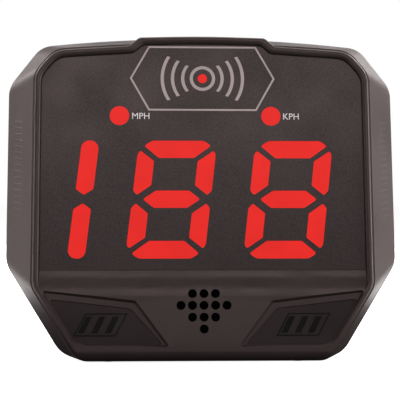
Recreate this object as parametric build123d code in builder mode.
from build123d import *

import os
from math import cos, radians, sin, tan

# Free-standing speed radar display. A two-piece housing leans back and carries a segment display,
# two unit lamps and a radar sensor at the front, and buttons, a battery bay and a jack at the rear.
# +X is to the right of someone reading the display, -Y is towards them, +Z is up.
# The origin is the middle of the footprint, on the surface that the feet stand on.

# ---------------------------------------------------------------- driving dimensions, in mm
WIDTH = 210.0  # across the widest part of the housing
DEPTH = 74.0  # front of the base to back of the base
CROWN = 93.5  # top of the housing above the face's datum, measured up the face
DATUM_Z = 84.9  # height of the datum above the surface: the middle of the digits
LEAN = 10.0  # degrees that the face leans back
RAKE = 4.0  # degrees that the rear panel leans forward
FOOT_DROP = 1.0  # how far the feet stand out of the base
WALL = 2.4  # shell wall

WIDEST_DEPTH = 20.0  # depth behind the face where the housing is widest
SEAM_DEPTH = 24.0  # where the front shell ends
SEAL_GAP = 0.6  # seal between the two shells
REAR_STRAIGHT = 3.0  # straight band of the rear shell before it tapers
REAR_PULL = 11.6  # how far the rear shell has tapered in when it reaches the rear panel's foot
REAR_ROUND = 6.0  # rounding round the rear panel

DIAGONAL = 31.8  # degrees from vertical of the lower flanks
BAND_SIDE = 15.3  # width of the sloping band at the sides, in plan
STEP_DEPTH = 2.0  # height of the bezel above the sloping band
STEP_WIDTH = 0.8  # ledge round the foot of the bezel
BEAD = 3.6  # width of the bezel's bead
BEAD_ROUND = 1.7  # rounding of the bead's edges
NOSE_ROUND = 5.0  # rounding of the bottom front edge

RECESS = 3.0  # depth of the window below the bead
WINDOW_T = 2.0  # window thickness
WINDOW_GAP = 0.15  # window to bezel
SEAM_V = -36.9  # lower edge of the window
RAMP_V = -50.5  # lower edge of the ramp below the window
LEDGE_T = 2.2  # ledge that the window is glued to
FIT = 0.15  # general clearance between fixed pieces

DIGIT_H = 63.2  # height of a digit
DIGIT_W = 41.6  # width of a digit, unslanted
DIGIT_PITCH = 62.2  # tens digit to units digit
UNITS_U = 45.5  # middle of the units digit
ONE_U = -63.3  # middle of the hundreds digit's bars
DIGIT_V = 0.95  # middle of the digits
SLANT = 0.117  # sideways lean of the digits per unit of height
STROKE = 9.2  # width of a segment
LENS_SINK = 0.1  # segments below the window's face
LENS_GAP = 0.1  # segment to its cut-out
LENS_FLANGE = 1.2  # plate that carries a digit's segments

LAMP_R = 5.15  # unit lamp
LAMP_V = 46.2
MPH_U = -44.4
KPH_U = 36.8
AIM_R = 2.45  # aiming lens
AIM_V = 66.8

WELL_DEPTH = 11.4  # depth of the light wells
WELL_WALL = 1.4  # light wells to the outside of their block
BOARD_T = 1.6  # circuit boards

HOLE_D = 4.7  # grille holes
HOLE_PITCH_U = 6.0
HOLE_PITCH_V = 6.15
GRILLE_V = -55.6  # the grille's longest row
SPEAKER_R = 15.5
SPEAKER_V = -58.8

POCKET_DEPTH = 1.5
POCKET_SLOPE = 1.3
INLAY_SINK = 0.8  # inlay below the pocket's ledge
INLAY_T = 1.2
BAR_T = 0.3  # raised bars on the inlays

SCREW_R = 1.45  # self-tapping shank
PILOT_R = 1.5
SCREW_HEAD_R = 2.8
SCREW_HEAD_T = 2.2
BOSS_R = 3.6

CELL_R = 7.15  # AA cell
CELL_LENGTH = 49.2  # can without its nib
CELL_PITCH = 15.0
CELL_COUNT = 4
SPRING_ROOM = 6.0  # room at the spring end of a cell
NIB_ROOM = 2.2  # room at the nib end

TRAY_WALL = 1.6
TRAY_FLANGE = 4.4  # flange round the tray's mouth
FLANGE_T = 1.4
DOOR_T = 2.2
DOOR_GAP = 0.3  # door to the rear shell
DOOR_OVERLAP = 2.6  # door past the tray's mouth, on each side
DOOR_LOW = 8.0  # lower edge of the door above the base, up the rear panel
HINGE_PIN_R = 0.8
HINGE_PLAY = 0.05

KEY_R = 6.0  # buttons
KEY_PITCH = 21.0
KEY_HEIGHT = 118.0  # up the rear panel
KEY_PROUD = 1.6
KEY_TRAVEL = 0.8
KEY_GAP = 0.3

JACK_X = 58.0  # jack's distance to the side, seen from behind
JACK_HEIGHT = 40.0

INSERT_R = 5.0  # tripod insert
INSERT_BORE_R = 2.55  # tap drill of a quarter-inch camera thread
INSERT_LENGTH = 9.0
INSERT_Y = 3.0

FOOT_R = 5.0
FOOT_SINK = 0.8

HALF = WIDTH / 2
SIN = sin(radians(LEAN))
COS = cos(radians(LEAN))
RECESS_LOW = SEAM_V - 12.1
HOOD_LENGTH = 13.0
PILOT_DEPTH = 9.0
RADAR_PILOT = 3.5
MAIN_BOARD = 30.0
MAIN_SCREWS = [(side * 52, v) for v in (18, -26) for side in (1, -1)]
NOSE_TANGENT = NOSE_ROUND / tan(radians((90 - LEAN) / 2))


# ---------------------------------------------------------------- planes
def base_line(depth):
    """Height on the face's axis of the flat base, at a depth behind the face."""
    return (FOOT_DROP - DATUM_Z + depth * SIN) / COS


NOSE_TOP = base_line(0) + NOSE_TANGENT
FACE_Y = -DEPTH / 2 - NOSE_TOP * SIN
REAR_Y = DEPTH / 2 + REAR_ROUND * (tan(radians(RAKE)) + 1 / cos(radians(RAKE)) - 1)

FACE = Plane(origin=(0, FACE_Y, DATUM_Z), x_dir=(1, 0, 0), z_dir=(0, -COS, SIN))
REAR = Plane(
    origin=(0, REAR_Y, FOOT_DROP),
    x_dir=(-1, 0, 0),
    z_dir=(0, cos(radians(RAKE)), sin(radians(RAKE))),
)
SIDE = Plane(origin=FACE.origin, x_dir=FACE.y_dir, z_dir=(1, 0, 0))
BASE = Plane.XY.offset(FOOT_DROP)


def face(depth):
    """Plane parallel to the face, at a depth behind it."""
    return FACE.offset(-depth)


def rear(depth):
    """Plane parallel to the rear panel, at a depth inside it. Its x runs towards -X."""
    return REAR.offset(-depth)


# ---------------------------------------------------------------- outlines
def rounded(plane, corners, radii):
    """Closed outline through the corners, each one rounded by its own radius."""
    with BuildSketch(plane) as sketch:
        with BuildLine():
            FilletPolyline(*corners, radius=radii, close=True)
        make_face()
    return sketch.sketch


def flanks(half, side_low, bottom, side_high):
    """Right-hand corners of a housing outline from the base up to the upper flank."""
    foot = half - (side_low - bottom) * tan(radians(DIAGONAL))
    return [(foot, bottom), (half, side_low), (half, side_high)]


def arched(plane, half, side_low, bottom, side_high, shoulder, crown, radii):
    """Housing outline: flat foot, lower flanks, upright sides, upper flanks, gently arched top."""
    right = flanks(half, side_low, bottom, side_high) + [shoulder]
    left = [(-u, v) for u, v in reversed(right)]
    with BuildSketch(plane) as sketch:
        with BuildLine():
            Polyline(*left, *right)
            ThreePointArc(shoulder, (0, crown), left[0])
        make_face()
        for (u, v), radius in zip(right, radii):
            for side in (u, -u):
                fillet(sketch.vertices().sort_by_distance((side, v))[0], radius)
    return sketch.sketch


def body_outline(depth, pull=0.0):
    """Widest outline of the housing, standing on the base, pulled in at the sides and the top."""
    outline = arched(
        face(depth),
        HALF,
        -31.6,
        base_line(depth) - pull,
        65.7,
        (HALF - 17.3, CROWN - 4.8),
        CROWN + 0.3,
        (15.5, 16, 15, 13),
    )
    return inner(outline, pull) if pull else outline


def land_outline(depth, grow=0.0):
    """Outline of the foot of the bezel, without the hood."""
    return arched(
        face(depth),
        HALF - BAND_SIDE + grow,
        -45.3 - grow / 4,
        base_line(depth),
        69.2,
        (HALF - 25.9 + grow / 2, CROWN - 11.7 + grow),
        CROWN - 8.2 + grow,
        (14, 12, 14, 14),
    )


def inner(sketch, inset, deeper=0.0):
    """The same outline set in by a distance, and moved back from the face."""
    smaller = offset(sketch, amount=-inset, kind=Kind.INTERSECTION, mode=Mode.PRIVATE)
    return smaller.translate(FACE.z_dir * -deeper) if deeper else smaller


def window_outline(depth, gap):
    """Outline of the window, down to the seam."""
    outline = bezel_outline(depth, BEAD + gap, RECESS_LOW, 7)
    with BuildSketch(face(depth), mode=Mode.PRIVATE) as below:
        with Locations((0, SEAM_V + gap)):
            Rectangle(2 * WIDTH, WIDTH, align=(Align.CENTER, Align.MAX))
    return outline - below.sketch


def display_opening(depth):
    """Opening in the ledge behind the window: wide for the light wells, narrow for the radar."""
    half, shelf, top = HALF - 26, LAMP_V + 7.8, CROWN - 12
    corners = [(half, SEAM_V + 3), (half, shelf), (31, shelf), (31, top)]
    left = [(-u, v) for u, v in reversed(corners)]
    return rounded(face(depth), corners + left, [2, 4, 2, 4, 4, 2, 4, 2])


def hood_corners(inset):
    """Right-hand corners of the hood: the end of the shoulder and the top of the flank."""
    return [(39.3 - inset * 0.6, CROWN - 9.05 - inset), (33.8 - inset * 0.6, CROWN - 4.5 - inset)]


def bezel_outline(depth, inset, bottom, foot_radius):
    """Outline of the bezel with its hood, set in from the bezel's outer edge."""
    half = HALF - BAND_SIDE - inset
    low = flanks(half, -45.3 + inset * 0.28, bottom, 69.2 - inset * 0.36)
    low_radii = [14, 12, 14 - inset / 2]
    if foot_radius:
        low = [(half, bottom), low[-1]]
        low_radii = [foot_radius, 14 - inset / 2]
    shoulder = (HALF - 25.9 - inset * 0.55, CROWN - 11.7 - inset)
    right = low + [shoulder] + hood_corners(inset)
    radii = low_radii + [14 - inset, 3, 4]
    left = [(-u, v) for u, v in reversed(right)]
    top = [(0, CROWN - 3.6 - inset)]
    return rounded(face(depth), right + top + left, radii + [600] + radii[::-1])


def hood_outline(depth):
    """Block that carries the hood back into the sloping top."""
    low, high = hood_corners(0)
    right = [(low[0], low[1] - 7), low, high]
    left = [(-u, v) for u, v in reversed(right)]
    return rounded(face(depth), right + [(0, CROWN - 3.6)] + left, [0, 0, 4, 600, 4, 0, 0])


# ---------------------------------------------------------------- segments
def slanted(middle, points):
    """Points of a digit, given upright about its middle, leaned over and put in place."""
    return [(middle + a + SLANT * b, DIGIT_V + b) for a, b in points]


def digit_segments(middle):
    """Outlines of the seven segments of a digit, with the radius of each corner."""
    half, high, stroke = DIGIT_W / 2, DIGIT_H / 2, STROKE
    top = [
        (half - 3, high - 2.7),
        (half - 7, high),
        (7 - half, high),
        (3 - half, high - 2.7),
        (stroke + 2.3 - half, high - stroke - 0.1),
        (half - stroke - 2.3, high - stroke - 0.1),
    ]
    side = [
        (half - 1.2, high - 5.3),
        (half, high - 7.6),
        (half, 4.8),
        (half - 2.1, 2.3),
        (half - stroke + 0.1, 7.6),
        (half - stroke + 0.1, high - 11.1),
    ]
    middle_bar = [
        (half - 5.6, 0),
        (half - 12, stroke / 2),
        (12 - half, stroke / 2),
        (5.6 - half, 0),
        (12 - half, -stroke / 2),
        (half - 12, -stroke / 2),
    ]
    outlines = [(top, [0.9, 4, 4, 0.9, 0.9, 0.9]), (middle_bar, [0.9] * 6)]
    outlines.append(([(a, -b) for a, b in top], [0.9, 4, 4, 0.9, 0.9, 0.9]))
    for across in (1, -1):
        for up in (1, -1):
            points = [(across * a, up * b) for a, b in side]
            outlines.append((points, [0.9, 4, 1.2, 0.9, 0.9, 0.9]))
    return [(slanted(middle, points), radii) for points, radii in outlines]


def one_segments():
    """Outlines of the two bars of the hundreds digit."""
    half, high = STROKE / 2, DIGIT_H / 2
    bar = [(half, high), (-half, high), (-half, 5.4), (0, 2.3), (half, 5.4)]
    radii = [4.4, 4.4, 1.2, 1.2, 1.2]
    return [(slanted(ONE_U, [(a, up * b) for a, b in bar]), radii) for up in (1, -1)]


DIGITS = {
    "hundreds": one_segments(),
    "tens": digit_segments(UNITS_U - DIGIT_PITCH),
    "units": digit_segments(UNITS_U),
}
LAMPS = {"mph": (MPH_U, LAMP_V, LAMP_R), "kph": (KPH_U, LAMP_V, LAMP_R), "aim": (0.1, AIM_V, AIM_R)}


def segment_face(depth, outline, grow):
    """One segment's outline on a plane, grown all round."""
    points, radii = outline
    sketch = rounded(face(depth), points, radii)
    return offset(sketch, amount=grow, kind=Kind.ARC, mode=Mode.PRIVATE) if grow else sketch


def save(builder, name):
    """Label a finished piece and write it."""
    builder.part.label = name
    export_step(builder.part, f"parts/{name}.step")


os.makedirs("parts", exist_ok=True)


# ---------------------------------------------------------------- front shell
CAVITY_DEPTH = RECESS + WINDOW_T + LEDGE_T
CASE_SCREWS = [(HALF - 16.5, 56), (HALF - 16.5, -26), (58, -60)]
CASE_SCREWS = [(side * u, v) for u, v in CASE_SCREWS for side in (1, -1)]
BOARD_SCREWS = [(side * (HALF - 22), v) for v in (38, -12) for side in (1, -1)]
RADAR_SCREWS = [(side * 35.5, v) for v in (78.5, 58.5) for side in (1, -1)]
WELL_FRONT = RECESS + WINDOW_T + FIT + LENS_FLANGE + FIT
DISPLAY_BOARD = WELL_FRONT + WELL_DEPTH + FIT
RADAR_FRONT = 9.4
FRONT_FEET = [(side * 50, -DEPTH / 2 + 16) for side in (1, -1)]
REAR_FEET = [(side * 42, DEPTH / 2 - 12) for side in (1, -1)]

with BuildPart() as front_cavity:
    loft(
        sections=[
            inner(body_outline(SEAM_DEPTH + 1), WALL),
            inner(body_outline(WIDEST_DEPTH), WALL),
            inner(land_outline(STEP_DEPTH, STEP_WIDTH), WALL),
        ],
        ruled=True,
    )
    split(bisect_by=face(CAVITY_DEPTH), keep=Keep.BOTTOM)


def pocket_corners(side):
    """Corners of a pocket at the face: upper outer, upper inner, lower inner, lower outer."""
    slope = tan(radians(DIAGONAL))
    half = HALF - BAND_SIDE - 2.9
    points = [
        (half - (-45.3 + 47.2) * slope, -47.2),
        (35.5, -53.1),
        (17.4, -77.5),
        (half - (-45.3 + 77.5) * slope, -77.5),
    ]
    return [(side * u, v) for u, v in points]


def inlay_corners(side):
    """Corners of the inlay that lines a pocket's floor."""
    slope = tan(radians(DIAGONAL))
    half = HALF - BAND_SIDE - 4.6
    points = [
        (half - (-45.3 + 52.1) * slope, -52.1),
        (38.3, -57.0),
        (21.0, -76.2),
        (half - (-45.3 + 76.2) * slope, -76.2),
    ]
    return [(side * u, v) for u, v in points]


FORWARD = Axis(FACE.origin, FACE.z_dir)


def disc(plane, *centres, radius):
    """Round faces on a plane."""
    with BuildSketch(plane) as sketch:
        with Locations(*centres):
            Circle(radius)
    return sketch.sketch


with BuildPart() as ramp:
    with BuildSketch(SIDE):
        with BuildLine():
            Polyline((RAMP_V, 0), (RAMP_V, -RECESS - 1), (SEAM_V, -RECESS - 1), (SEAM_V, -RECESS))
            Spline((SEAM_V, -RECESS), (RAMP_V, 0), tangents=[(-1, 0), (-1, 0)])
        make_face()
    extrude(amount=HALF, both=True)
    filled = bezel_outline(0, BEAD - BEAD_ROUND, RECESS_LOW - BEAD_ROUND, 7 + BEAD_ROUND)
    extrude(to_extrude=filled, amount=-RECESS - 1, mode=Mode.INTERSECT)

with BuildPart() as front_shell:
    # sloping bands from the widest line up to the bezel's foot
    loft(
        sections=[
            body_outline(SEAM_DEPTH),
            body_outline(WIDEST_DEPTH),
            land_outline(STEP_DEPTH, STEP_WIDTH),
        ],
        ruled=True,
    )
    # bezel with its raised hood, which runs back into the sloping top
    loft(
        sections=[
            bezel_outline(STEP_DEPTH, 0, base_line(STEP_DEPTH), 0),
            bezel_outline(0, 0, base_line(0), 0),
        ],
        ruled=True,
    )
    fillet(front_shell.faces().sort_by(FORWARD)[-1].edges(), BEAD_ROUND)
    extrude(to_extrude=hood_outline(BEAD_ROUND + 0.2), amount=-HOOD_LENGTH)
    # window recess, with its bead rounded on the inside too
    extrude(to_extrude=bezel_outline(0, BEAD, RECESS_LOW, 7), amount=-RECESS, mode=Mode.SUBTRACT)
    foremost = front_shell.faces().sort_by(FORWARD)[-1]
    fillet(foremost.inner_wires()[0].edges(), BEAD_ROUND)
    # ramp below the window, up from the recess to the face
    add(ramp.part)
    # pockets beside the grille, sloping in to a ledge, with a seat for the inlay
    for side in (1, -1):
        mouth = rounded(face(0), pocket_corners(side), [1.5, 3, 1, 13])
        loft(sections=[mouth, inner(mouth, POCKET_SLOPE, POCKET_DEPTH)], mode=Mode.SUBTRACT)
        seat = rounded(face(POCKET_DEPTH), inlay_corners(side), [1, 2, 1, 12])
        extrude(to_extrude=seat, amount=-INLAY_SINK - INLAY_T, mode=Mode.SUBTRACT)
    # rounded nose along the bottom front edge
    with BuildSketch(SIDE):
        with BuildLine():
            start = (NOSE_TOP, 0)
            low = (base_line(NOSE_TANGENT * COS), -NOSE_TANGENT * COS)
            RadiusArc(start, low, -NOSE_ROUND)
            Polyline(low, (base_line(0) - 4, low[1]), (base_line(0) - 4, 3), (NOSE_TOP, 3), start)
        make_face()
    extrude(amount=HALF, both=True, mode=Mode.SUBTRACT)
    # hollow, window seat and the way through to the light wells
    add(front_cavity.part, mode=Mode.SUBTRACT)
    window_seat = window_outline(RECESS, 0)
    extrude(to_extrude=window_seat, amount=-WINDOW_T, mode=Mode.SUBTRACT)
    extrude(to_extrude=display_opening(RECESS), amount=-20, mode=Mode.SUBTRACT)
    # speaker seat and grille
    speaker_seat = disc(face(WALL), (0, SPEAKER_V), radius=SPEAKER_R + FIT)
    extrude(to_extrude=speaker_seat, amount=-20, mode=Mode.SUBTRACT)
    grille = [
        (HOLE_PITCH_U * column, GRILLE_V + HOLE_PITCH_V * row)
        for row, reach in ((1, 1), (0, 2), (-1, 1), (-2, 0))
        for column in range(-reach, reach + 1)
    ]
    extrude(to_extrude=disc(face(0), *grille, radius=HOLE_D / 2), amount=-5, mode=Mode.SUBTRACT)
    # bosses for the case screws, the display board and the radar board
    case_boss = disc(face(CAVITY_DEPTH - 1), *CASE_SCREWS, radius=BOSS_R)
    extrude(to_extrude=case_boss, amount=1 + CAVITY_DEPTH - SEAM_DEPTH)
    board_boss = disc(face(CAVITY_DEPTH - 1), *BOARD_SCREWS, radius=BOSS_R)
    extrude(to_extrude=board_boss, amount=1 + CAVITY_DEPTH - DISPLAY_BOARD)
    radar_boss = disc(face(CAVITY_DEPTH - 1), *RADAR_SCREWS, radius=BOSS_R)
    extrude(to_extrude=radar_boss, amount=1 + CAVITY_DEPTH - RADAR_FRONT)
    pilots = disc(face(SEAM_DEPTH), *CASE_SCREWS, radius=PILOT_R)
    extrude(to_extrude=pilots, amount=SEAM_DEPTH - CAVITY_DEPTH - 1, mode=Mode.SUBTRACT)
    board_pilots = disc(face(DISPLAY_BOARD), *BOARD_SCREWS, radius=PILOT_R)
    extrude(to_extrude=board_pilots, amount=PILOT_DEPTH, mode=Mode.SUBTRACT)
    radar_pilots = disc(face(RADAR_FRONT), *RADAR_SCREWS, radius=PILOT_R)
    extrude(to_extrude=radar_pilots, amount=RADAR_PILOT, mode=Mode.SUBTRACT)
    # recesses for the front feet
    feet = disc(BASE, *FRONT_FEET, radius=FOOT_R + FIT)
    extrude(to_extrude=feet, amount=FOOT_SINK, mode=Mode.SUBTRACT)
save(front_shell, "front_shell")


def plate(plane, centre, size, thickness, corner=0.0):
    """Rectangular plate reaching back from a plane, with rounded corners."""
    with BuildSketch(plane) as sketch:
        with Locations(centre):
            if corner:
                RectangleRounded(size[0], size[1], corner)
            else:
                Rectangle(size[0], size[1])
    return extrude(to_extrude=sketch.sketch, amount=-thickness, mode=Mode.PRIVATE)


# ---------------------------------------------------------------- window, lenses and light wells
with BuildPart() as display_window:
    extrude(to_extrude=window_outline(RECESS, WINDOW_GAP), amount=-WINDOW_T)
    for outlines in DIGITS.values():
        for outline in outlines:
            cut_out = segment_face(RECESS, outline, LENS_GAP)
            extrude(to_extrude=cut_out, amount=-WINDOW_T, mode=Mode.SUBTRACT)
    for u, v, radius in LAMPS.values():
        cut_out = disc(face(RECESS), (u, v), radius=radius + LENS_GAP)
        extrude(to_extrude=cut_out, amount=-WINDOW_T, mode=Mode.SUBTRACT)
save(display_window, "display_window")

LENS_FRONT = RECESS + LENS_SINK
FLANGE_FRONT = RECESS + WINDOW_T + FIT


def digit_flange(middle, half):
    """Slanted plate that carries a digit's segments."""
    high = DIGIT_H / 2 + 1.5
    points = slanted(middle, [(half, high), (-half, high), (-half, -high), (half, -high)])
    return rounded(face(FLANGE_FRONT), points, [2] * 4)


for name, outlines in DIGITS.items():
    middle = {"hundreds": ONE_U, "tens": UNITS_U - DIGIT_PITCH, "units": UNITS_U}[name]
    half = (STROKE if name == "hundreds" else DIGIT_W) / 2 + 2
    with BuildPart() as lens:
        for outline in outlines:
            bar = segment_face(LENS_FRONT, outline, 0)
            extrude(to_extrude=bar, amount=LENS_FRONT - FLANGE_FRONT - LENS_FLANGE / 2)
        extrude(to_extrude=digit_flange(middle, half), amount=-LENS_FLANGE)
    save(lens, f"{name}_lens")

for name, (u, v, radius) in LAMPS.items():
    with BuildPart() as lens:
        front = disc(face(LENS_FRONT), (u, v), radius=radius)
        extrude(to_extrude=front, amount=LENS_FRONT - FLANGE_FRONT - LENS_FLANGE / 2)
        flange = disc(face(FLANGE_FRONT), (u, v), radius=radius + 1.2)
        extrude(to_extrude=flange, amount=-LENS_FLANGE)
    save(lens, f"{name}_lens")

with BuildPart() as light_wells:
    low, high = SEAM_V + 3.6, LAMP_V + LAMP_R + 1.8
    add(plate(face(WELL_FRONT), (0, (low + high) / 2), (WIDTH - 54, high - low), WELL_DEPTH, 3))
    for outlines in DIGITS.values():
        for outline in outlines:
            well = segment_face(WELL_FRONT, outline, 0.3)
            extrude(to_extrude=well, amount=-WELL_DEPTH, mode=Mode.SUBTRACT)
    for name in ("mph", "kph"):
        u, v, radius = LAMPS[name]
        well = disc(face(WELL_FRONT), (u, v), radius=radius + 0.3)
        extrude(to_extrude=well, amount=-WELL_DEPTH, mode=Mode.SUBTRACT)
save(light_wells, "light_well_block")

# ---------------------------------------------------------------- display board
BOARD_BACK = DISPLAY_BOARD + BOARD_T
with BuildPart() as display_board:
    add(plate(face(DISPLAY_BOARD), (0, (low + high) / 2), (WIDTH - 50, high - low), BOARD_T, 2))
    for u, v in BOARD_SCREWS:
        add(plate(face(DISPLAY_BOARD), (u - 3 if u > 0 else u + 3, v), (14, 9), BOARD_T, 2))
    holes = disc(face(DISPLAY_BOARD), *BOARD_SCREWS, *MAIN_SCREWS, radius=SCREW_R + FIT)
    extrude(to_extrude=holes, amount=-BOARD_T, mode=Mode.SUBTRACT)
save(display_board, "display_board")

with BuildPart() as segment_leds:
    faces = [segment_face(0, outline, 0) for outlines in DIGITS.values() for outline in outlines]
    spots = [FACE.to_local_coords(spot.center()) for spot in faces]
    spots = [(spot.X, spot.Y) for spot in spots] + [LAMPS[name][:2] for name in ("mph", "kph")]
    for spot in spots:
        add(plate(face(DISPLAY_BOARD - 1.3), spot, (3.2, 2.6), 1.3))
save(segment_leds, "segment_leds")

# ---------------------------------------------------------------- radar sensor and aiming light
RADAR_BACK = RADAR_FRONT + BOARD_T
with BuildPart() as radar_board:
    add(plate(face(RADAR_FRONT), (0, CROWN - 25), (79, 27), BOARD_T, 2))
    holes = disc(face(RADAR_FRONT), *RADAR_SCREWS, radius=SCREW_R + FIT)
    extrude(to_extrude=holes, amount=-BOARD_T, mode=Mode.SUBTRACT)
save(radar_board, "radar_board")

with BuildPart() as radar_patches:
    for u in (-25, -17, -9, 9, 17, 25):
        for v in (AIM_V - 5.5, AIM_V + 6.5):
            add(plate(face(RADAR_FRONT - 0.15), (u, v), (5.6, 5.6), 0.15))
save(radar_patches, "radar_patches")

with BuildPart() as radar_shield:
    add(plate(face(RADAR_BACK), (0, CROWN - 25), (44, 21), 4.2, 1))
    add(plate(face(RADAR_BACK), (0, CROWN - 25), (43, 20), 3.7, 0.6), mode=Mode.SUBTRACT)
save(radar_shield, "radar_shield")

with BuildPart() as aim_led:
    add(plate(face(RADAR_FRONT - 1.4), (0.1, AIM_V), (3.2, 2.8), 1.4))
save(aim_led, "aim_led")

# ---------------------------------------------------------------- speaker
CLOTH_T = 0.3
SPEAKER_AXIS = Axis(FACE.from_local_coords((0, SPEAKER_V, 0)), FACE.z_dir)
SPEAKER_HALF = Plane(SPEAKER_AXIS.position, x_dir=(1, 0, 0), z_dir=-FACE.y_dir)
SPEAKER_FRONT = WALL + CLOTH_T


def turned(profile):
    """Round piece about the speaker's axis, from a half section of (radius, depth) points."""
    with BuildPart(mode=Mode.PRIVATE) as piece:
        with BuildSketch(SPEAKER_HALF):
            with BuildLine():
                Polyline(*[(radius, -SPEAKER_FRONT - depth) for radius, depth in profile], close=True)
            make_face()
        revolve(axis=SPEAKER_AXIS)
    return piece.part


with BuildPart() as grille_cloth:
    cloth = disc(face(WALL), (0, SPEAKER_V), radius=SPEAKER_R)
    extrude(to_extrude=cloth, amount=-CLOTH_T)
save(grille_cloth, "grille_cloth")

with BuildPart() as speaker_frame:
    basket = [(13.4, 0), (15.5, 0), (15.5, 1.5), (14.2, 2.2), (9.6, 7.2), (8, 7.2), (8, 6.4), (13.4, 1.4)]
    add(turned(basket))
save(speaker_frame, "speaker_frame")
with BuildPart() as speaker_cone:
    cone = [(0, 3.2), (4, 4.2), (13, 0.7), (13, 1.1), (4, 4.6)]
    voice_coil = [(4, 6.6), (3.6, 6.6), (3.6, 4.5), (0, 3.6)]
    add(turned(cone + voice_coil))
save(speaker_cone, "speaker_cone")
with BuildPart() as speaker_magnet:
    pole = [(0, 11.6), (0, 7.2), (2.6, 7.2), (2.6, 10), (5, 10)]
    add(turned([(5, 7.2), (10, 7.2), (10, 11.6)] + pole))
save(speaker_magnet, "speaker_magnet")

# ---------------------------------------------------------------- pocket inlays
for side, name in ((1, "right_inlay"), (-1, "left_inlay")):
    top = POCKET_DEPTH + INLAY_SINK
    with BuildPart() as inlay:
        seat = rounded(face(top), inlay_corners(side), [1, 2, 1, 12])
        smaller = offset(seat, amount=-FIT / 2, kind=Kind.INTERSECTION, mode=Mode.PRIVATE)
        extrude(to_extrude=smaller, amount=-INLAY_T)
        for shift in (-9.5, -2.5, 4.5):
            bar = [(-3.4, -4.5), (0.2, -4.5), (4.6, 4.5), (1.0, 4.5)]
            points = [(side * 53 + shift + u, -65.5 + v) for u, v in bar]
            extrude(to_extrude=rounded(face(top), points, [0.5] * 4), amount=BAR_T)
    save(inlay, name)

# ---------------------------------------------------------------- main board on its standoffs
with BuildPart() as standoffs:
    with BuildSketch(face(BOARD_BACK)):
        with Locations(*MAIN_SCREWS):
            RegularPolygon(3, 6)
            Circle(SCREW_R + FIT / 3, mode=Mode.SUBTRACT)
    extrude(amount=BOARD_BACK - MAIN_BOARD)
save(standoffs, "standoffs")

with BuildPart() as main_board:
    add(plate(face(MAIN_BOARD), (0, -4), (114, 54), BOARD_T, 2))
    holes = disc(face(MAIN_BOARD), *MAIN_SCREWS, radius=SCREW_R + FIT)
    extrude(to_extrude=holes, amount=-BOARD_T, mode=Mode.SUBTRACT)
save(main_board, "main_board")

with BuildPart() as main_chips:
    for spot, size in (((-8, 6), (14, 14)), ((16, 10), (9, 9)), ((-30, -6), (10, 6)), ((34, -14), (6, 5))):
        add(plate(face(MAIN_BOARD + BOARD_T), spot, size, 1.6))
save(main_chips, "main_chips")

with BuildPart() as capacitors:
    cans = disc(face(MAIN_BOARD + BOARD_T), (-30, 13), (-40, 13), (34, 13), radius=3.2)
    extrude(to_extrude=cans, amount=-7)
save(capacitors, "capacitors")


def screws(seats, seat_depth, length, head=SCREW_HEAD_T):
    """Screws driven forwards from the back, head on a seat at a depth behind the face."""
    heads = disc(face(seat_depth), *seats, radius=SCREW_HEAD_R)
    shanks = disc(face(seat_depth), *seats, radius=SCREW_R)
    with BuildPart(mode=Mode.PRIVATE) as group:
        extrude(to_extrude=heads, amount=-head)
        fillet(group.faces().sort_by(FORWARD)[: len(seats)].edges(), 0.6)
        extrude(to_extrude=shanks, amount=length)
        with BuildSketch(face(seat_depth + head)):
            with Locations(*seats):
                Rectangle(2.6, 0.7)
                Rectangle(0.7, 2.6)
        extrude(amount=1.1, mode=Mode.SUBTRACT)
    return group.part


with BuildPart() as board_screws:
    add(screws(BOARD_SCREWS, BOARD_BACK, BOARD_T + PILOT_DEPTH - 1))
    add(screws(RADAR_SCREWS, RADAR_BACK, BOARD_T + RADAR_PILOT - 0.5))
    add(screws(MAIN_SCREWS, MAIN_BOARD + BOARD_T, BOARD_T + 6))
save(board_screws, "board_screws")

# ---------------------------------------------------------------- rear shell
REAR_FRONT = SEAM_DEPTH + SEAL_GAP
TAPER_START = REAR_FRONT + REAR_STRAIGHT
TAPER_END = DEPTH + 8
HEAD_SEAT = TAPER_START + 0.6
POST_R = 5.4

TRAY_W = CELL_LENGTH + SPRING_ROOM + NIB_ROOM
TRAY_H = CELL_PITCH * CELL_COUNT
TRAY_FLOOR = WALL + 0.4 + 2 * CELL_R + 0.5
HINGE_R = 2.2
HINGE_HEIGHT = DOOR_LOW + HINGE_R
TRAY_LOW = HINGE_HEIGHT + HINGE_R + 0.4 + TRAY_WALL
DOOR_W = TRAY_W + 2 * DOOR_OVERLAP
DOOR_TOP = TRAY_LOW + TRAY_H + DOOR_OVERLAP
DOOR_H = DOOR_TOP - HINGE_HEIGHT
PIN_HALF = DOOR_W / 2 + DOOR_GAP + 3.4

KEYS = {"power_button": KEY_PITCH, "units_button": 0, "mode_button": -KEY_PITCH}
KEY_SPOTS = [(x, KEY_HEIGHT) for x in KEYS.values()]
KEY_FLANGE_TOP = WALL + KEY_GAP
KEY_FLANGE_T = 1.0
SWITCH_TOP = 7.4
SWITCH_H = 2.8
KEY_BOARD = SWITCH_TOP + SWITCH_H
KEY_SCREWS = [(side * (KEY_PITCH + 14.5), KEY_HEIGHT) for side in (1, -1)]

FLAP_W = 14.0
FLAP_H = 15.0
FLAP_T = 1.4
FLAP_SINK = 0.1
FLAP_R = FLAP_T / 2
FLAP_TOP = JACK_HEIGHT + FLAP_H / 2
JACK_BORE_R = 3.2
JACK_PAD = 3.4

BACKWARD = Axis(REAR.origin, REAR.z_dir)


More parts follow.
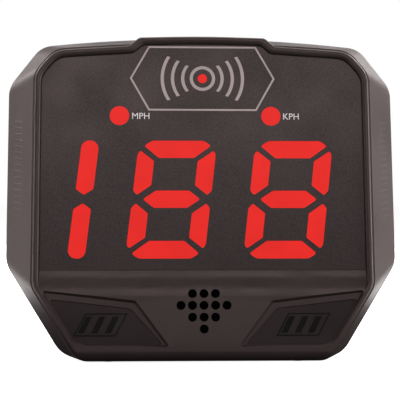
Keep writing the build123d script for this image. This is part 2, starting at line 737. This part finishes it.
def across(height, depth, x_from, x_to, radius):
    """Rod along the rear panel's x axis, at a height up the panel and a depth inside it."""
    centre = REAR.from_local_coords((x_from, height, -depth))
    start = Plane(origin=centre, x_dir=REAR.y_dir, z_dir=REAR.x_dir)
    return extrude(to_extrude=disc(start, (0, 0), radius=radius), amount=x_to - x_from, mode=Mode.PRIVATE)


with BuildPart() as rear_cavity:
    loft(
        sections=[
            inner(body_outline(REAR_FRONT - 1), WALL),
            inner(body_outline(TAPER_START), WALL),
            inner(body_outline(TAPER_END, REAR_PULL), WALL),
        ],
        ruled=True,
    )
    split(bisect_by=rear(WALL), keep=Keep.BOTTOM)
    posts = disc(face(REAR_FRONT + 0.4), *CASE_SCREWS, radius=POST_R)
    extrude(to_extrude=posts, amount=-DEPTH, mode=Mode.SUBTRACT)
    boss = disc(BASE, (0, INSERT_Y), radius=INSERT_R + 3)
    extrude(to_extrude=boss, amount=INSERT_LENGTH + WALL, mode=Mode.SUBTRACT)

with BuildPart() as rear_shell:
    loft(
        sections=[
            body_outline(REAR_FRONT),
            body_outline(TAPER_START),
            body_outline(TAPER_END, REAR_PULL),
        ],
        ruled=True,
    )
    split(bisect_by=REAR, keep=Keep.BOTTOM)
    fillet(rear_shell.faces().sort_by(BACKWARD)[-1].edges(), REAR_ROUND)
    add(rear_cavity.part, mode=Mode.SUBTRACT)
    # wells for the case screws
    wells = disc(face(HEAD_SEAT), *CASE_SCREWS, radius=SCREW_HEAD_R + 0.4)
    extrude(to_extrude=wells, amount=-DEPTH, mode=Mode.SUBTRACT)
    shanks = disc(face(REAR_FRONT), *CASE_SCREWS, radius=SCREW_R + FIT)
    extrude(to_extrude=shanks, amount=-10, mode=Mode.SUBTRACT)
    # battery door's opening, and lugs for its hinge pin
    opening_low = DOOR_LOW - DOOR_GAP
    opening_h = DOOR_TOP + DOOR_GAP - opening_low
    opening_middle = (0, opening_low + opening_h / 2)
    opening = plate(REAR, opening_middle, (DOOR_W + 2 * DOOR_GAP, opening_h), WALL)
    add(opening, mode=Mode.SUBTRACT)
    for side in (1, -1):
        lug_middle = (side * (DOOR_W / 2 + DOOR_GAP + 2), HINGE_HEIGHT)
        add(plate(rear(0.6), lug_middle, (4, 2 * HINGE_R + 0.4), HINGE_R * 2 + 0.6))
    add(across(HINGE_HEIGHT, HINGE_R, -PIN_HALF, PIN_HALF, HINGE_PIN_R + 0.02), mode=Mode.SUBTRACT)
    # keypad: a shallow panel, three holes, and bosses for its board
    keypad = plate(REAR, (0, KEY_HEIGHT), (2 * KEY_PITCH + 26, 22), 0.6, 8)
    add(keypad, mode=Mode.SUBTRACT)
    key_holes = disc(REAR, *KEY_SPOTS, radius=KEY_R + KEY_GAP)
    extrude(to_extrude=key_holes, amount=-WALL - 1, mode=Mode.SUBTRACT)
    key_bosses = disc(rear(WALL - 0.5), *KEY_SCREWS, radius=BOSS_R)
    extrude(to_extrude=key_bosses, amount=WALL - 0.5 - KEY_BOARD)
    key_pilots = disc(rear(KEY_BOARD), *KEY_SCREWS, radius=PILOT_R)
    extrude(to_extrude=key_pilots, amount=KEY_BOARD - WALL - 1.5, mode=Mode.SUBTRACT)
    # jack: a pad inside the wall, a recess for the cover, and the hole
    add(plate(rear(WALL - 0.5), (JACK_X, JACK_HEIGHT), (FLAP_W + 5, FLAP_H + 5), JACK_PAD - WALL + 0.5))
    recess_size = (FLAP_W + 2 * DOOR_GAP, FLAP_H + 3 * DOOR_GAP)
    recess_spot = (JACK_X, JACK_HEIGHT + DOOR_GAP / 2)
    add(plate(REAR, recess_spot, recess_size, FLAP_SINK + FLAP_T + 0.3), mode=Mode.SUBTRACT)
    jack_hole = disc(REAR, (JACK_X, JACK_HEIGHT - 1), radius=JACK_BORE_R + 0.8)
    extrude(to_extrude=jack_hole, amount=-JACK_PAD, mode=Mode.SUBTRACT)
    # tripod insert's hole and recesses for the rear feet
    insert_hole = disc(BASE, (0, INSERT_Y), radius=INSERT_R)
    extrude(to_extrude=insert_hole, amount=INSERT_LENGTH, mode=Mode.SUBTRACT)
    feet = disc(BASE, *REAR_FEET, radius=FOOT_R + FIT)
    extrude(to_extrude=feet, amount=FOOT_SINK, mode=Mode.SUBTRACT)
save(rear_shell, "rear_shell")

with BuildPart() as case_seal:
    outer_line = inner(body_outline(SEAM_DEPTH), 0.9)
    inner_line = inner(body_outline(SEAM_DEPTH), WALL - 0.1)
    extrude(to_extrude=outer_line - inner_line, amount=-SEAL_GAP)
save(case_seal, "case_seal")

with BuildPart() as case_screws:
    add(screws(CASE_SCREWS, HEAD_SEAT, HEAD_SEAT - CAVITY_DEPTH - 4))
save(case_screws, "case_screws")

# ---------------------------------------------------------------- battery bay
with BuildPart() as battery_tray:
    box_w, box_h = TRAY_W + 2 * TRAY_WALL, TRAY_H + 2 * TRAY_WALL
    bay_middle = (0, TRAY_LOW + TRAY_H / 2)
    add(plate(rear(WALL), bay_middle, (box_w, box_h), TRAY_FLOOR + TRAY_WALL - WALL))
    flange_middle = (0, bay_middle[1] + TRAY_FLANGE / 2)
    flange_size = (box_w + 2 * TRAY_FLANGE, box_h + TRAY_FLANGE)
    add(plate(rear(WALL), flange_middle, flange_size, FLANGE_T))
    add(plate(rear(WALL), bay_middle, (TRAY_W, TRAY_H), TRAY_FLOOR - WALL), mode=Mode.SUBTRACT)
    # saddles between the cells
    for row in range(1, CELL_COUNT):
        saddle = (0, TRAY_LOW + CELL_PITCH * row)
        for x in (-12, 12):
            add(plate(rear(TRAY_FLOOR - 3.2), (x, saddle[1]), (2, 3.2), 3.2))
save(battery_tray, "battery_tray")

CELL_DEPTH = WALL + 0.4 + CELL_R
CONTACT_T = 0.5
for row in range(CELL_COUNT):
    way = 1 if row % 2 == 0 else -1
    height = TRAY_LOW + CELL_PITCH * (row + 0.5)
    nib_end = way * (TRAY_W / 2 - NIB_ROOM)
    with BuildPart() as cell:
        start, end = sorted((nib_end, nib_end - way * CELL_LENGTH))
        add(across(height, CELL_DEPTH, start, end, CELL_R))
        fillet(cell.edges(), 0.5)
        start, end = sorted((nib_end - way * 0.2, nib_end + way * 1.3))
        add(across(height, CELL_DEPTH, start, end, 2.75))
    save(cell, f"cell_{row + 1}")

with BuildPart() as battery_springs:
    for row in range(CELL_COUNT):
        way = 1 if row % 2 == 0 else -1
        height = TRAY_LOW + CELL_PITCH * (row + 0.5)
        wall_end = -way * (TRAY_W / 2 - CONTACT_T)
        cell_end = way * (TRAY_W / 2 - NIB_ROOM - CELL_LENGTH - 0.1)
        start, end = sorted((wall_end, cell_end))
        add(across(height, CELL_DEPTH, start, end, 4.4))
        add(across(height, CELL_DEPTH, start, end, 3.4), mode=Mode.SUBTRACT)
save(battery_springs, "battery_springs")

with BuildPart() as battery_contacts:
    for row in range(CELL_COUNT):
        for side in (1, -1):
            spot = (side * (TRAY_W / 2 - CONTACT_T / 2), TRAY_LOW + CELL_PITCH * (row + 0.5))
            add(plate(rear(CELL_DEPTH - 5), spot, (CONTACT_T, 10), 10))
save(battery_contacts, "battery_contacts")

with BuildPart() as battery_door:
    add(plate(REAR, (0, HINGE_HEIGHT + DOOR_H / 2), (DOOR_W, DOOR_H), DOOR_T))
    add(across(HINGE_HEIGHT, HINGE_R, -DOOR_W / 2, DOOR_W / 2, HINGE_R))
    top_corners = battery_door.edges().filter_by(Axis(REAR.origin, REAR.z_dir)).group_by(Axis.Z)[-1]
    fillet(top_corners, 3)
    for groove in range(5):
        spot = (0, DOOR_TOP - 8 - 3 * groove)
        add(plate(REAR, spot, (26 - 2 * groove, 1.2), 0.6), mode=Mode.SUBTRACT)
    add(across(HINGE_HEIGHT, HINGE_R, -DOOR_W, DOOR_W, HINGE_PIN_R + HINGE_PLAY), mode=Mode.SUBTRACT)
save(battery_door, "battery_door")

with BuildPart() as door_hinge_pin:
    add(across(HINGE_HEIGHT, HINGE_R, -PIN_HALF, PIN_HALF, HINGE_PIN_R))
save(door_hinge_pin, "door_hinge_pin")

# ---------------------------------------------------------------- keypad
for name, x in KEYS.items():
    spot = (x, KEY_HEIGHT)
    with BuildPart() as key:
        cap = disc(rear(-KEY_PROUD), spot, radius=KEY_R)
        extrude(to_extrude=cap, amount=-KEY_PROUD - KEY_FLANGE_TOP - KEY_FLANGE_T)
        fillet(key.faces().sort_by(BACKWARD)[-1].edges(), 0.9)
        flange = disc(rear(KEY_FLANGE_TOP), spot, radius=KEY_R + 1.4)
        extrude(to_extrude=flange, amount=-KEY_FLANGE_T)
        stem = disc(rear(KEY_FLANGE_TOP + 0.5), spot, radius=2.2)
        extrude(to_extrude=stem, amount=KEY_FLANGE_TOP + 0.5 - 6.2)
    save(key, name)
    with BuildPart() as plunger:
        extrude(to_extrude=disc(rear(6.2), spot, radius=1.7), amount=-2.2)
    save(plunger, name.replace("button", "plunger"))

with BuildPart() as key_switches:
    for spot in KEY_SPOTS:
        add(plate(rear(SWITCH_TOP), spot, (6, 6), SWITCH_H, 0.5))
    bores = disc(rear(SWITCH_TOP), *KEY_SPOTS, radius=1.8)
    extrude(to_extrude=bores, amount=-2.2, mode=Mode.SUBTRACT)
save(key_switches, "key_switches")

with BuildPart() as key_board:
    add(plate(rear(KEY_BOARD), (0, KEY_HEIGHT), (2 * KEY_PITCH + 38, 15), BOARD_T, 2))
    holes = disc(rear(KEY_BOARD), *KEY_SCREWS, radius=SCREW_R + FIT)
    extrude(to_extrude=holes, amount=-BOARD_T, mode=Mode.SUBTRACT)
save(key_board, "key_board")

with BuildPart() as key_screws:
    seat = KEY_BOARD + BOARD_T
    extrude(to_extrude=disc(rear(seat), *KEY_SCREWS, radius=SCREW_HEAD_R), amount=-SCREW_HEAD_T)
    extrude(to_extrude=disc(rear(seat), *KEY_SCREWS, radius=SCREW_R), amount=seat - WALL - 2.5)
save(key_screws, "key_screws")

# ---------------------------------------------------------------- jack, insert and feet
with BuildPart() as dc_jack:
    spot = (JACK_X, JACK_HEIGHT - 1)
    add(plate(rear(JACK_PAD), spot, (9.4, 11), 13.5, 0.8))
    bore = disc(rear(JACK_PAD), spot, radius=JACK_BORE_R)
    extrude(to_extrude=bore, amount=-10, mode=Mode.SUBTRACT)
    extrude(to_extrude=disc(rear(JACK_PAD + 1), spot, radius=1.0), amount=-10)
save(dc_jack, "dc_jack")

with BuildPart() as jack_cover:
    flap_low = JACK_HEIGHT - FLAP_H / 2
    flap_h = FLAP_H - FLAP_R
    add(plate(rear(FLAP_SINK), (JACK_X, flap_low + flap_h / 2), (FLAP_W, flap_h), FLAP_T))
    knuckle = across(FLAP_TOP - FLAP_R, FLAP_SINK + FLAP_R, JACK_X - FLAP_W / 2, JACK_X + FLAP_W / 2, FLAP_R)
    add(knuckle)
    add(plate(rear(FLAP_SINK), (JACK_X, flap_low + 1.6), (7, 1.6), 0.5), mode=Mode.SUBTRACT)
save(jack_cover, "jack_cover")

with BuildPart() as tripod_insert:
    extrude(to_extrude=disc(BASE, (0, INSERT_Y), radius=INSERT_R), amount=INSERT_LENGTH)
    bore = disc(BASE, (0, INSERT_Y), radius=INSERT_BORE_R)
    extrude(to_extrude=bore, amount=INSERT_LENGTH - 1, mode=Mode.SUBTRACT)
save(tripod_insert, "tripod_insert")

with BuildPart() as rubber_feet:
    pads = disc(Plane.XY, *FRONT_FEET, *REAR_FEET, radius=FOOT_R)
    extrude(to_extrude=pads, amount=FOOT_DROP + FOOT_SINK)
    fillet(rubber_feet.edges().group_by(Axis.Z)[0], 0.4)
save(rubber_feet, "rubber_feet")
